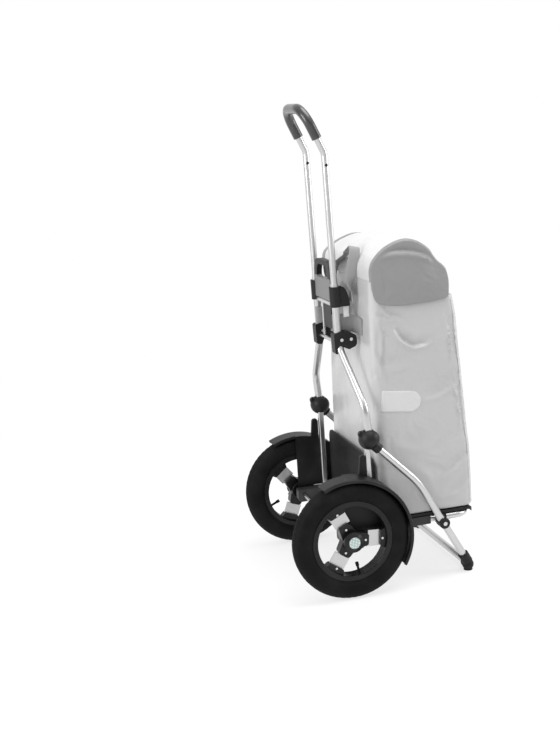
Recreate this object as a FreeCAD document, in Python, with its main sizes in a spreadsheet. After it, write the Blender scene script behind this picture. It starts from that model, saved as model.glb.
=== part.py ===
import FreeCAD, Part
import math
import os

import Sketcher

# Two-wheeled shopping trolley with a fabric bag, standing upright on its stand.
# Millimetres. +Z is up, X runs along the axle, -Y is the loading side (bag and stand foot).
# The origin is on the floor, at the centre of the trolley's footprint.

App = FreeCAD
V = App.Vector
X_AXIS, Y_AXIS, Z_AXIS = V(1, 0, 0), V(0, 1, 0), V(0, 0, 1)
SIDES = {"left": -1, "right": 1}

doc = App.newDocument("ShoppingTrolley")
sheet = doc.addObject("Spreadsheet::Sheet", "Dims")

# Driving dimensions. Heights are above the floor. Depths (names ending in _y) are from the axle.
D = {
    "axle_y": 96.5, "axle_dia": 12.0, "axle_length": 472.0,
    "track": 436.0, "wheel_dia": 290.0, "tyre_width": 48.0, "tyre_wall": 4.5, "bead_dia": 190.0,
    "rim_width": 36.0, "rim_inner_dia": 173.0, "hub_width": 44.0, "hub_dia": 46.0,
    "hub_bore": 12.12, "hub_lobe_circle": 33.0, "rim_lobe_circle": 76.0, "screw_head_dia": 5.6,
    "spoke_width": 40.0, "spoke_thick": 6.0, "valve_dia": 6.0, "tab_turn": 26.0,
    "cap_dia": 50.0, "cap_rise": 8.0, "reflector_dia": 28.0,
    "arm_side": 20.0, "arm_front_y": -221.0, "arm_height": 147.0, "tray_half": 170.0,
    "tray_tube_dia": 17.0, "tray_front_y": -325.0,
    "plate_top": 165.0, "plate_thick": 7.8, "plate_half": 176.0, "plate_back_y": -74.0,
    "lip_y": -338.0, "lip_thick": 3.4, "lip_drop": 17.0, "plate_corner": 18.0,
    "joint_half": 192.0, "joint_y": -68.0, "joint_height": 377.0, "joint_dia": 51.0,
    "knuckle_dia": 37.6, "knuckle_width": 19.4, "slot_width": 20.0, "pivot_dia": 10.0,
    "pivot_bore": 10.1, "pivot_length": 44.0,
    "low_tube_dia": 19.0, "low_tube_bore": 16.15, "tube_half": 74.0,
    "tube_top_y": -41.0, "tube_top": 737.0, "tube_lean": 0.018,
    "handle_dia": 16.0, "handle_bore": 13.6, "spigot_dia": 13.5, "handle_foot": 692.0,
    "handle_joint": 1034.0, "bow_y": 13.0, "bow_height": 1152.0, "bow_corner": 44.0,
    "sleeve_dia": 27.0, "sleeve_length": 49.0, "hook_bar_dia": 10.0,
    "grip_dia": 24.0, "grip_start": 1082.0, "snap_height": 1019.0, "snap_dia": 7.0,
    "strut_half": 181.0, "strut_side": 13.0,
    "stand_tube_dia": 18.0, "stand_knee_y": -185.0, "stand_knee": 253.0,
    "foot_half": 181.0, "foot_y": -320.0, "foot_height": 13.0, "boot_dia": 29.0,
    "clip_height": 140.0, "clip_dia": 27.0, "clip_width": 25.0,
    "fender_radius": 153.0, "fender_thick": 3.0, "fender_width": 48.0, "fender_lip": 8.0,
    "fender_start": 64.0, "fender_sweep": 147.5,
    "bag_half": 178.0, "bag_wall": 3.0, "bag_floor": 165.4, "bag_back_y": -89.0, "bag_back_top_y": -98.0,
    "bag_rim": 758.0, "bag_front_low_y": -335.0, "bag_front_top_y": -288.0,
    "lid_half": 182.5, "lid_hinge": 763.0, "lid_front_y": -297.0, "lid_crown": 841.0,
}

for line, (alias, value) in enumerate(D.items(), start=1):
    sheet.set(f"A{line}", alias)
    sheet.set(f"B{line}", str(value))
    sheet.setAlias(f"B{line}", alias)
doc.recompute()

nodes = []


def at(x, y, z):
    """A point given by its depth from the axle."""
    return V(x, y + D["axle_y"], z)


def keep(obj, label):
    """Name a finished sub-part and list it for export."""
    obj.Label = label
    nodes.append(obj)
    return obj


def bind(obj, **expressions):
    for prop, expression in expressions.items():
        obj.setExpression(prop, expression)
    return obj


def place(obj, base, direction=Z_AXIS):
    obj.Placement = App.Placement(base, App.Rotation(Z_AXIS, direction))
    return obj


def cylinder(name, radius, length, base, direction=Z_AXIS):
    obj = doc.addObject("Part::Cylinder", name)
    bind(obj, Radius=str(radius), Height=str(length))
    return place(obj, base, direction)


def sphere(name, radius, centre):
    obj = doc.addObject("Part::Sphere", name)
    bind(obj, Radius=str(radius))
    return place(obj, centre)


def box(name, low, high):
    """A box between two opposite corners."""
    obj = doc.addObject("Part::Box", name)
    size = high - low
    obj.Length, obj.Width, obj.Height = size.x, size.y, size.z
    obj.Placement.Base = low
    return obj


def fuse(name, parts):
    obj = doc.addObject("Part::MultiFuse", name)
    obj.Shapes = parts
    return obj


def cut(name, base, tool):
    obj = doc.addObject("Part::Cut", name)
    obj.Base, obj.Tool = base, tool
    return obj


def group(name, parts):
    obj = doc.addObject("Part::Compound", name)
    obj.Links = parts
    return obj


def feature(name, shape):
    obj = doc.addObject("Part::Feature", name)
    obj.Shape = shape
    return obj


def rounded(corners):
    """Edges of a closed outline. Each corner is (u, v) or (u, v, corner radius)."""
    points = [V(c[0], c[1], 0) for c in corners]
    radii = [c[2] if len(c) > 2 else 0.0 for c in corners]
    starts, ends, arcs = [], [], []
    for i, point in enumerate(points):
        to_prev = (points[i - 1] - point).normalize()
        to_next = (points[(i + 1) % len(points)] - point).normalize()
        half = to_prev.getAngle(to_next) / 2
        run = radii[i] / math.tan(half)
        ends.append(point + to_prev * run)
        starts.append(point + to_next * run)
        bisector = (to_prev + to_next).normalize()
        middle = point + bisector * (radii[i] / math.sin(half) - radii[i])
        arcs.append(Part.Arc(ends[i], middle, starts[i]) if radii[i] else None)
    edges = []
    for i in range(len(points)):
        if arcs[i]:
            edges.append(arcs[i])
        after = (i + 1) % len(points)
        if (ends[after] - starts[i]).Length > 1e-6:
            edges.append(Part.LineSegment(starts[i], ends[after]))
    return edges


def new_body(label):
    return keep(doc.addObject("PartDesign::Body", label), label)


def sketch(body, plane, outlines, offset=0.0):
    """A sketch on one of the body's origin planes, moved along its normal by offset."""
    drawing = body.newObject("Sketcher::SketchObject", body.Label + "_outline")
    origin_plane = [f for f in body.Origin.OriginFeatures if f.Role == plane][0]
    drawing.AttachmentSupport = [(origin_plane, "")]
    drawing.MapMode = "FlatFace"
    drawing.AttachmentOffset = App.Placement(V(0, 0, offset), App.Rotation())
    for outline in outlines:
        drawing.addGeometry(outline, False)
    return drawing


def ring(u, v, radius):
    return Part.Circle(V(u, v, 0), Z_AXIS, radius)


def pad(body, drawing, length, centred=False, backwards=False):
    extrusion = body.newObject("PartDesign::Pad", body.Label + "_pad")
    extrusion.Profile = drawing
    extrusion.setExpression("Length", str(length))
    extrusion.Midplane = centred
    extrusion.Reversed = backwards
    body.Tip = extrusion
    return extrusion


def pocket_through(body, drawing):
    slot = body.newObject("PartDesign::Pocket", body.Label + "_pocket")
    slot.Profile = drawing
    slot.Type = 1
    slot.Midplane = True
    body.Tip = slot
    return slot


def revolve(body, drawing, angle="360"):
    turning = body.newObject("PartDesign::Revolution", body.Label + "_turned")
    turning.Profile = drawing
    turning.ReferenceAxis = (drawing, ["H_Axis"])
    turning.setExpression("Angle", angle)
    body.Tip = turning
    return turning


def threefold(body, repeated):
    """Repeat a feature three times around the body's X axis."""
    pattern = body.newObject("PartDesign::PolarPattern", body.Label + "_threefold")
    pattern.Originals = [repeated]
    pattern.Axis = ([f for f in body.Origin.OriginFeatures if f.Role == "X_Axis"][0], [""])
    pattern.Angle = 360
    pattern.Occurrences = 3
    body.Tip = pattern
    return pattern


def fillet_path(points, radii):
    """A wire of straight runs joined by tangent arcs."""
    edges = []
    start = points[0]
    for i in range(1, len(points) - 1):
        corner = points[i]
        back = (points[i - 1] - corner).normalize()
        ahead = (points[i + 1] - corner).normalize()
        half = back.getAngle(ahead) / 2
        run = radii[i - 1] / math.tan(half)
        bisector = (back + ahead).normalize()
        middle = corner + bisector * (radii[i - 1] / math.sin(half) - radii[i - 1])
        edges.append(Part.makeLine(start, corner + back * run))
        edges.append(Part.Arc(corner + back * run, middle, corner + ahead * run).toShape())
        start = corner + ahead * run
    edges.append(Part.makeLine(start, points[-1]))
    return Part.Wire(edges)


def rod(points, radii, diameter):
    """A solid round bar along a bent path."""
    path = fillet_path(points, radii)
    circle = Part.Wire(Part.makeCircle(diameter / 2, points[0], points[1] - points[0]))
    bar = path.makePipeShell([circle], True, True)
    expected = math.pi * diameter ** 2 / 4 * path.Length
    if abs(bar.Volume - expected) > 0.01 * expected:
        raise RuntimeError("a bent bar has the wrong volume")
    return bar


def tube(points, radii, outside, inside):
    return rod(points, radii, outside).cut(rod(points, radii, inside))


# Wheels ---------------------------------------------------------------------------------

WHEEL_HEIGHT = D["wheel_dia"] / 2
# The two wheels have rolled to different stops, so their spokes point in different directions.
SPOKE_TURN = {"left": 94.0, "right": 200.0}


def wheel_placement(side):
    return App.Placement(
        at(SIDES[side] * D["track"] / 2, 0, WHEEL_HEIGHT),
        App.Rotation(X_AXIS, SPOKE_TURN[side]),
    )


def tyre(side):
    """A pneumatic tyre, open towards the rim."""
    half, wall = D["tyre_width"] / 2, D["tyre_wall"]
    crown, bead = D["wheel_dia"] / 2, D["bead_dia"] / 2
    seat = D["rim_width"] / 2 - 3
    outside = [(-seat, bead), (-seat, bead + 6), (-half, bead + 18, 12), (-half, crown - 13, 9),
               (-11, crown, 12)]
    inside = [(wall - 11, crown - 7, 14), (wall - half, crown - 15, 8), (wall - half, bead + 20, 8),
              (wall - seat, bead + 9, 4), (wall - seat, bead)]
    mirrored_outside = [(-c[0],) + c[1:] for c in outside[::-1]]
    mirrored_inside = [(-c[0],) + c[1:] for c in inside[::-1]]
    body = new_body("tyre_" + side)
    outline = rounded(outside + mirrored_outside + mirrored_inside + inside)
    revolve(body, sketch(body, "XZ_Plane", [outline]))
    body.Placement = wheel_placement(side)


def valve_placement(side):
    """The valve's frame: its +Z points from the wheel's centre out along the stem."""
    turn = {"left": 75.0, "right": 45.0}[side]
    return wheel_placement(side).multiply(App.Placement(V(), App.Rotation(X_AXIS, turn)))


def inner_tube(side):
    """The air tube inside the tyre, with its valve stem and cap."""
    middle, radius = 117.0, 12.0
    body = doc.addObject("PartDesign::Body", "air_ring_" + side)
    revolve(body, sketch(body, "XZ_Plane", [[ring(0, middle, radius)]]))
    body.Placement = wheel_placement(side)
    stem = cylinder("valve_stem", "Dims.valve_dia / 2", 38, V())
    stem.Placement = valve_placement(side).multiply(App.Placement(V(0, 0, 69), App.Rotation()))
    cap = cylinder("valve_cap", "Dims.valve_dia / 2 + 1.2", 9, V())
    cap.Placement = valve_placement(side).multiply(App.Placement(V(0, 0, 61), App.Rotation()))
    keep(fuse("inner_tube", [body, stem, cap]), "inner_tube_" + side)


def rim(side):
    """Moulded rim with an inward lobe at each spoke and a hole for the valve."""
    half, seat, inner = D["rim_width"] / 2, D["bead_dia"] / 2, D["rim_inner_dia"] / 2
    body = doc.addObject("PartDesign::Body", "rim_blank_" + side)
    flange = seat + 4.5
    left = [(-half, inner, 2), (-half, flange, 1.4), (3 - half, flange, 1.4), (3 - half, seat),
            (-9, seat), (-6, seat - 6, 1.5)]
    channel = rounded(left + [(-c[0],) + c[1:] for c in left[::-1]])
    revolve(body, sketch(body, "XZ_Plane", [channel]))
    lobe = rounded([
        (-27, inner + 1.5), (-20, inner - 15, 6), (20, inner - 15, 6), (27, inner + 1.5),
    ])
    threefold(body, pad(body, sketch(body, "YZ_Plane", [lobe]), 20, centred=True))
    body.Placement = wheel_placement(side)
    hole = cylinder("valve_hole", "Dims.valve_dia / 2 + 0.4", 40, V())
    hole.Placement = valve_placement(side).multiply(App.Placement(V(0, 0, 72), App.Rotation()))
    keep(cut("rim_cut", body, hole), "rim_" + side)


def tab_placement(side):
    """The frame of the release tab: +Z points out of the hub beside the first lobe."""
    return wheel_placement(side).multiply(App.Placement(V(), App.Rotation(X_AXIS, D["tab_turn"])))


def hub(side):
    """Moulded hub with three lobes, a bore that runs on the axle and a pocket for the tab."""
    body = doc.addObject("PartDesign::Body", "hub_blank_" + side)
    half, radius, bore = D["hub_width"] / 2, D["hub_dia"] / 2, D["hub_bore"] / 2
    barrel = rounded([(-half, bore), (-half, radius, 2), (half, radius, 2), (half, bore)])
    revolve(body, sketch(body, "XZ_Plane", [barrel]))
    circle = D["hub_lobe_circle"]
    lobe = rounded([(-20, 10), (-15, circle + 9, 8), (15, circle + 9, 8), (20, 10)])
    threefold(body, pad(body, sketch(body, "YZ_Plane", [lobe]), 24, centred=True))
    body.Placement = wheel_placement(side)
    sign = SIDES[side]
    bore_core = cylinder("hub_bore_core", "Dims.hub_bore / 2", 60,
                         body.Placement.Base - X_AXIS * 30, X_AXIS)
    low, high = sorted((sign * 13.4, sign * 20.1))
    pocket = box("tab_pocket", V(low, -5.1, 14), V(high, 5.1, 40))
    pocket.Placement = tab_placement(side).multiply(pocket.Placement)
    keep(cut("hub_cut", body, fuse("hub_cores", [bore_core, pocket])), "hub_" + side)


def wheel_details(side):
    """Spokes, screws, hub cap and reflector of one wheel."""
    sign, centre = SIDES[side], wheel_placement(side)
    spokes, screws = [], []
    for turn in (0, 120, 240):
        turned = centre.multiply(App.Placement(V(), App.Rotation(X_AXIS, turn)))
        inner = D["hub_lobe_circle"] + 9.2
        outer = D["rim_inner_dia"] / 2 - 15.2
        half, thick = D["spoke_width"] / 2, D["spoke_thick"] / 2
        spoke = box("spoke", V(-thick, -half, inner), V(thick, half, outer))
        spoke.Placement = turned.multiply(spoke.Placement)
        spokes.append(spoke)
        for radius, face in ((D["hub_lobe_circle"], 12.0), (D["rim_lobe_circle"], 10.0)):
            head = cylinder("screw_head", "Dims.screw_head_dia / 2", 2, V())
            outward = App.Rotation(Z_AXIS, X_AXIS * sign)
            head.Placement = turned.multiply(App.Placement(V(sign * face, 0, radius), outward))
            screws.append(head)
    keep(group("spokes", spokes), "spokes_" + side)
    keep(group("screws", screws), "wheel_screws_" + side)
    face = centre.Base + X_AXIS * sign * D["hub_width"] / 2
    cap = fuse("cap", [
        cylinder("cap_base", "Dims.cap_dia / 2", 3.5, face, X_AXIS * sign),
        place(bind(doc.addObject("Part::Cone", "cap_dome"), Radius1="Dims.cap_dia / 2 - 2",
                   Radius2="Dims.reflector_dia / 2 + 2.5", Height="Dims.cap_rise - 3.5"),
              face + X_AXIS * sign * 3.5, X_AXIS * sign),
    ])
    seat = cylinder("reflector_seat", "Dims.reflector_dia / 2", 3,
                    face + X_AXIS * sign * (D["cap_rise"] - 2.4), X_AXIS * sign)
    keep(cut("cap_cut", cap, seat), "hub_cap_" + side)
    keep(cylinder("reflector", "Dims.reflector_dia / 2", 2.2,
                  face + X_AXIS * sign * (D["cap_rise"] - 2.4), X_AXIS * sign),
         "reflector_" + side)


def release_tab(side):
    """A push tab in the hub that frees the wheel from the axle."""
    low, high = sorted((SIDES[side] * 13.5, SIDES[side] * 20.0))
    tab = box("release_tab", V(low, -5, 17), V(high, 5, 30))
    tab.Placement = tab_placement(side).multiply(tab.Placement)
    keep(tab, "release_tab_" + side)


for side in SIDES:
    tyre(side)
    inner_tube(side)
    rim(side)
    hub(side)
    wheel_details(side)
    release_tab(side)


# Chassis --------------------------------------------------------------------------------

def joint_centre(sign):
    return at(sign * D["joint_half"], D["joint_y"], D["joint_height"])


keep(cylinder("axle", "Dims.axle_dia / 2", "Dims.axle_length",
              at(-D["axle_length"] / 2, 0, WHEEL_HEIGHT), X_AXIS), "axle")


def arm(side):
    """Square side arm that carries the axle, the strut and one end of the tray tube."""
    sign, half = SIDES[side], D["arm_side"] / 2
    centre = sign * D["tray_half"]
    body = new_body("side_arm_" + side)
    top, low = D["arm_height"] + half, D["arm_height"] - half
    boss = WHEEL_HEIGHT - 20
    outline = rounded([
        (16, top, 4), (16, boss, 10), (-18, boss, 10), (-32, low, 6),
        (D["arm_front_y"], low, 2), (D["arm_front_y"], top, 2),
    ])
    pad(body, sketch(body, "YZ_Plane", [outline], offset=centre), "Dims.arm_side", centred=True)
    shoe = rounded([(14, top, 3), (14, low + 3), (-84, low + 3), (-84, top, 3)])
    pad(body, sketch(body, "YZ_Plane", [shoe], offset=centre + sign * 4), 28, centred=True)
    holes = sketch(body, "YZ_Plane", [[ring(0, WHEEL_HEIGHT, D["axle_dia"] / 2)]])
    pocket_through(body, holes)
    socket = body.newObject("PartDesign::Pocket", "tray_socket_" + side)
    bore = ring(centre, D["arm_height"], D["tray_tube_dia"] / 2)
    socket.Profile = sketch(body, "XZ_Plane", [[bore]], offset=-D["arm_front_y"])
    socket.setExpression("Length", "110")
    body.Tip = socket
    body.Placement.Base = at(0, 0, 0)


def strut(side):
    """Upright rectangular tube between the side arm and the fold joint."""
    sign, half = SIDES[side], D["strut_side"] / 2
    foot = D["arm_height"] + D["arm_side"] / 2
    body = doc.addObject("PartDesign::Body", "strut_blank_" + side)
    x, y, wall = sign * D["strut_half"], -65.0, 1.5

    def oblong(u, v, radius):
        return rounded([(x - u, y - v, radius), (x + u, y - v, radius),
                        (x + u, y + v, radius), (x - u, y + v, radius)])

    outer = oblong(half, half + 0.5, 3)
    inner = oblong(half - wall, half + 0.5 - wall, 2)
    head = D["joint_height"] - 15
    pad(body, sketch(body, "XY_Plane", [outer, inner], offset=foot), head - foot)
    body.Placement.Base = at(0, 0, 0)
    ball = sphere("strut_seat", "Dims.joint_dia / 2", joint_centre(sign))
    keep(cut("strut_cut", body, ball), "strut_" + side)


def stand_points(sign):
    """One leg of the stand, from its joint to the middle of the crossbar."""
    return [
        at(sign * 201, -86, 354), at(sign * 200, D["stand_knee_y"], D["stand_knee"]),
        at(sign * D["foot_half"], D["foot_y"], D["foot_height"]),
    ]


def stand_rod(diameter):
    left, right = stand_points(-1), stand_points(1)
    knee, corner = 190, 24
    return rod(left + right[::-1], [knee, corner, corner, knee], diameter)


def fold_joint(side):
    """Round housing around the fold joint, with a slot for the upper frame's knuckle."""
    sign = SIDES[side]
    centre = joint_centre(sign)
    head, knee = stand_points(sign)[:2]
    stand_ahead = (knee - head).normalize()
    button_ahead = V(0, 1, 0.75).normalize()
    shell = fuse("joint_shell", [
        sphere("joint_ball", "Dims.joint_dia / 2", centre),
        cylinder("stand_lug", 12.5, 17, head + stand_ahead * -13, stand_ahead),
        cylinder("button_lug", 8.5, 27, centre, button_ahead),
    ])
    half = D["slot_width"] / 2
    slot = fuse("joint_slot", [
        cylinder("knuckle_room", "Dims.knuckle_dia / 2 + 0.5", "Dims.slot_width",
                 centre - X_AXIS * half, X_AXIS),
        box("tube_room", centre + V(-half, -40, -13), centre + V(half, 13, 40)),
        cylinder("pivot_bore", "Dims.pivot_dia / 2", "Dims.pivot_length",
                 centre - X_AXIS * D["pivot_length"] / 2, X_AXIS),
        cylinder("button_bore", 5.55, 40, centre, button_ahead),
        feature("stand_bore", rod([head, knee], [], D["stand_tube_dia"])),
    ])
    keep(cut("joint_cut", shell, slot), "fold_joint_" + side)
    keep(cylinder("fold_button", 5.5, 8.5, centre + button_ahead * 22.2, button_ahead),
         "fold_button_" + side)
    return cylinder("pivot", "Dims.pivot_dia / 2", "Dims.pivot_length",
                    centre - X_AXIS * D["pivot_length"] / 2, X_AXIS)


def stand():
    """Bent stand tube with its crossbar, and a rubber boot at each corner."""
    hollow = stand_rod(D["stand_tube_dia"]).cut(stand_rod(D["stand_tube_dia"] - 3))
    keep(feature("stand_tube_shape", hollow), "stand_tube")
    for side, sign in SIDES.items():
        corner = at(sign * (D["foot_half"] - 6), D["foot_y"] + 3, D["boot_dia"] / 2)
        knee, foot = stand_points(sign)[1:]
        up = (knee - foot).normalize()
        blob = fuse("boot_blob", [
            sphere("boot_ball", "Dims.boot_dia / 2", corner),
            cylinder("boot_leg", "Dims.boot_dia / 2 - 1.6", 26, foot + up * 13, up),
            cylinder("boot_bar", "Dims.foot_height - 0.1", 16, foot - X_AXIS * sign * 12, X_AXIS * -sign),
            cylinder("boot_pad", 11, 8, corner - Z_AXIS * D["boot_dia"] / 2),
        ])
        keep(cut("boot_cut", blob, feature("boot_core", stand_rod(D["stand_tube_dia"]))),
             "stand_boot_" + side)


def tray():
    """U-shaped tray tube, the plate that it carries and the panel behind the load."""
    start, z = -150.0, D["arm_height"]
    half, front = D["tray_half"], D["tray_front_y"]
    points = [at(-half, start, z), at(-half, front, z), at(half, front, z), at(half, start, z)]
    outside = D["tray_tube_dia"]
    keep(feature("tray_tube_shape", tube(points, [34, 34], outside, outside - 3)), "tray_tube")
    body = doc.addObject("PartDesign::Body", "plate_blank")
    top, back, lip = D["plate_top"], D["plate_back_y"], D["lip_y"]
    under, hem, inside_lip = top - D["plate_thick"], top - D["lip_drop"], lip + D["lip_thick"]
    profile = rounded([
        (back, under), (back, top, 2), (lip, top, 14), (lip, hem, 1.5), (inside_lip, hem, 1.5),
        (inside_lip, under, 6),
    ])
    pad(body, sketch(body, "YZ_Plane", [profile]), "Dims.plate_half * 2", centred=True)
    body.Placement.Base = at(0, 0, 0)
    plan = doc.addObject("PartDesign::Body", "plate_plan")
    half, corner = D["plate_half"], D["plate_corner"]
    corners = rounded([(-half, back, 4), (half, back, 4), (half, lip, corner), (-half, lip, corner)])
    pad(plan, sketch(plan, "XY_Plane", [corners], offset=top - 30), 60)
    plan.Placement.Base = at(0, 0, 0)
    plate = doc.addObject("Part::Common", "plate_trimmed")
    plate.Base, plate.Tool = body, plan
    keep(plate, "base_plate")
    panel = new_body("back_panel")
    low, high, side_half = D["plate_top"] + 0.4, 316.0, 166.0
    outline = rounded([
        (-side_half, low), (side_half, low), (side_half, high, 22), (-side_half, high, 22),
    ])
    pad(panel, sketch(panel, "XZ_Plane", [outline], offset=80.5), 4)
    panel.Placement.Base = at(0, 0, 0)


def tray_clip(side):
    """Catch that locks the tray tube to the stand leg, with its bolt."""
    sign = SIDES[side]
    knee, foot = stand_points(sign)[1], stand_points(sign)[2]
    down = (foot - knee).normalize()
    middle = knee + down * ((knee.z - D["clip_height"]) / -down.z)
    half = D["clip_width"] / 2
    clip = cylinder("clip_block", "Dims.clip_dia / 2", "Dims.clip_width", middle - X_AXIS * half, X_AXIS)
    depth = middle.y - D["axle_y"]
    low, high = D["arm_height"] - 10.5, D["arm_height"] + 9.6
    near, far = sorted((sign * 168, sign * 186))
    reach = box("clip_reach", at(near, depth - 12, low), at(far, depth + 12, high))
    hollow = fuse("clip_hollow", [
        feature("clip_leg", rod([knee, foot], [], D["stand_tube_dia"])),
        cylinder("clip_tray", "Dims.tray_tube_dia / 2", 120,
                 at(sign * D["tray_half"], -210, D["arm_height"]), V(0, -1, 0)),
    ])
    keep(cut("clip_cut", fuse("clip_solid", [clip, reach]), hollow), "tray_clip_" + side)
    return cylinder("clip_bolt", 5.0, 3.0, middle + X_AXIS * sign * half, X_AXIS * sign)


def fender(side):
    """Mudguard over the wheel, with a flat inner skirt between the tyre and the load."""
    sign = SIDES[side]
    body = doc.addObject("PartDesign::Body", "fender_band_" + side)
    outer, thick, lip = D["fender_radius"], D["fender_thick"], D["fender_lip"]
    half = D["fender_width"] / 2
    section = rounded([
        (-half, outer - lip), (-half, outer, 3), (half, outer, 3), (half, outer - lip),
        (half - thick, outer - lip), (half - thick, outer - thick), (thick - half, outer - thick),
        (thick - half, outer - lip),
    ])
    revolve(body, sketch(body, "XZ_Plane", [section]), "Dims.fender_sweep")
    centre = at(sign * (D["track"] / 2 + 1), 0, WHEEL_HEIGHT)
    body.Placement = App.Placement(centre, App.Rotation(X_AXIS, D["fender_start"] - 90))
    skirt_disc = cylinder("skirt_disc", outer - 1, 3, at(sign * 189.5, 0, WHEEL_HEIGHT), X_AXIS * sign)
    skirt_low = D["arm_height"] + 12
    skirt_area = box("skirt_area", at(-260, -116, skirt_low), at(260, 6, 300))
    skirt = doc.addObject("Part::Common", "skirt")
    skirt.Base, skirt.Tool = skirt_disc, skirt_area
    link = cylinder("fender_link", outer, 7, at(sign * 189.5, 0, WHEEL_HEIGHT), X_AXIS * sign)
    bore = cylinder("fender_link_bore", outer - 3, 7, at(sign * 189.5, 0, WHEEL_HEIGHT), X_AXIS * sign)
    edge = doc.addObject("Part::Common", "skirt_edge")
    edge.Base, edge.Tool = cut("link_ring", link, bore), skirt_area
    keep(fuse("fender_solid", [body, skirt, edge]), "fender_" + side)


def fender_bracket(side):
    """Upright plate that ties the mudguard to the strut."""
    sign = SIDES[side]
    body = doc.addObject("PartDesign::Body", "bracket_blank_" + side)
    outline = rounded([(-57.8, 276), (-57.8, 334, 3), (-54, 340, 3), (-42, 340, 7), (-36, 276)])
    pad(body, sketch(body, "YZ_Plane", [outline], offset=sign * 191), 8, centred=True)
    body.Placement.Base = at(0, 0, 0)
    foot = cylinder("bracket_foot", "Dims.fender_radius + 0.05", 40,
                    at(-20 + sign * 190, 0, WHEEL_HEIGHT), X_AXIS)
    keep(cut("bracket_cut", body, foot), "fender_bracket_" + side)


def bag():
    """Open-topped bag on the base plate: four walls and a floor."""
    def blank(name, shrink, floor):
        solid = doc.addObject("Part::Wedge", name)
        half = D["bag_half"] - shrink
        back = D["bag_back_y"] - shrink
        solid.Xmin, solid.Xmax = -half, half
        solid.X2min, solid.X2max = -half + 3, half - 3
        # The wedge's own Y axis is its height and its own Z axis is the bag's depth.
        solid.Ymin, solid.Ymax = floor, 800
        slope = (D["bag_front_top_y"] - D["bag_front_low_y"]) / (D["bag_rim"] - D["bag_floor"])
        low = D["bag_front_low_y"] + slope * (floor - D["bag_floor"]) + shrink
        high = D["bag_front_low_y"] + slope * (800 - D["bag_floor"]) + shrink
        solid.Zmin, solid.Zmax = -back, -low
        solid.Z2min, solid.Z2max = shrink - D["bag_back_top_y"], -high
        solid.Placement = App.Placement(at(0, 0, 0), App.Rotation(X_AXIS, 90))
        doc.recompute()
        upright = [i + 1 for i, e in enumerate(solid.Shape.Edges)
                   if e.BoundBox.ZLength > 500]
        smooth = doc.addObject("Part::Fillet", name + "_rounded")
        smooth.Base = solid
        smooth.Edges = [(i, 30 - shrink, 30 - shrink) for i in upright]
        return smooth
    outer = blank("bag_outer", 0.0, D["bag_floor"])
    inner = blank("bag_inner", D["bag_wall"], D["bag_floor"] + 3)
    mouth = box("bag_mouth", V(-300, 0, 0), V(300, 400, 200))
    turn = math.degrees(math.atan2(D["bag_rim"] - 696, D["bag_back_y"] - D["bag_front_top_y"]))
    mouth.Placement = App.Placement(
        at(-300, D["bag_front_top_y"], 696), App.Rotation(X_AXIS, turn))
    mouth.Placement.Base += mouth.Placement.Rotation.multVec(V(0, -60, 0))
    keep(cut("bag_cut", outer, fuse("bag_space", [inner, mouth])), "bag_body")


def lid():
    """Hood over the bag's mouth: one arched top sheet between two side ears."""
    half, wall = D["lid_half"], D["bag_wall"]
    front, crown = D["lid_front_y"], D["lid_crown"]
    outline = rounded([
        (-100, 715, 6), (-98, crown - 29, 50), (-180, crown + 2, 120), (-262, crown - 15, 70),
        (front - 3, 745, 80), (front, 686, 6), (-200, 680, 300), (-122, 688, 14),
    ])
    edges = [curve.toShape() for curve in outline]
    profile = Part.Face(Part.Wire(Part.__sortEdges__(edges)))
    inside = profile.makeOffset2D(-wall)
    # The profile is drawn in X and Y, and then stood up so that it faces along the axle.
    upright = App.Rotation(V(0, 1, 0), V(0, 0, 1), V(1, 0, 0), "ZXY")
    def prism(face, half_length):
        solid = face.extrude(Z_AXIS * 2 * half_length)
        solid.Placement = App.Placement(at(-half_length, 0, 0), upright)
        return solid
    hood = prism(profile, half).cut(prism(inside, half - wall))
    inner = half - wall
    mouth = Part.makeBox(2 * inner, 214.2, 40, at(-inner, -294.2, 662))
    rear = Part.makeBox(2 * inner, 60, D["lid_hinge"] - 690, at(-inner, -140, 690))
    keep(feature("lid_shape", hood.cut(mouth).cut(rear)), "bag_lid")


for side in SIDES:
    arm(side)
    strut(side)
    fender(side)
    fender_bracket(side)
keep(group("pivot_pins", [fold_joint(side) for side in SIDES]), "pivot_pins")
stand()
tray()
keep(group("clip_bolts", [tray_clip(side) for side in SIDES]), "clip_bolts")
bag()
lid()


# Upper frame and handle -----------------------------------------------------------------

def on_tube(sign, height):
    """The point of a handle tube's axis at a height."""
    return at(sign * D["tube_half"], D["tube_top_y"] + D["tube_lean"] * (height - D["tube_top"]), height)


TUBE_UP = V(0, D["tube_lean"], 1).normalize()


def tube_elbow(sign):
    """The lower bend of a frame tube, above the fold joint."""
    return at(sign * 191.2, -61.0, 456)


def lower_tube_axis(side):
    sign = SIDES[side]
    start = joint_centre(sign) + (tube_elbow(sign) - joint_centre(sign)).normalize() * 19
    return [start, tube_elbow(sign), on_tube(sign, 583), on_tube(sign, D["tube_top"])]


def lower_tube(side):
    """Frame tube from the bracket down and outwards to the fold joint."""
    shape = tube(lower_tube_axis(side), [60, 50], D["low_tube_dia"], D["low_tube_bore"])
    keep(feature("lower_tube_shape", shape), "lower_tube_" + side)


def knuckle(side):
    """Disc of the fold joint on the upper frame, with a spigot in the tube's end."""
    sign = SIDES[side]
    centre = joint_centre(sign)
    half = D["knuckle_width"] / 2
    up = tube_elbow(sign) - centre
    blank = fuse("knuckle_blank", [
        cylinder("knuckle_disc", "Dims.knuckle_dia / 2", "Dims.knuckle_width",
                 centre - X_AXIS * half, X_AXIS),
        cylinder("knuckle_spigot", "Dims.low_tube_bore / 2 - 0.03", 36, centre, up),
    ])
    bore = cylinder("knuckle_bore", "Dims.pivot_bore / 2", 60, centre - X_AXIS * 30, X_AXIS)
    keep(cut("knuckle_cut", blank, bore), "knuckle_" + side)


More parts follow.
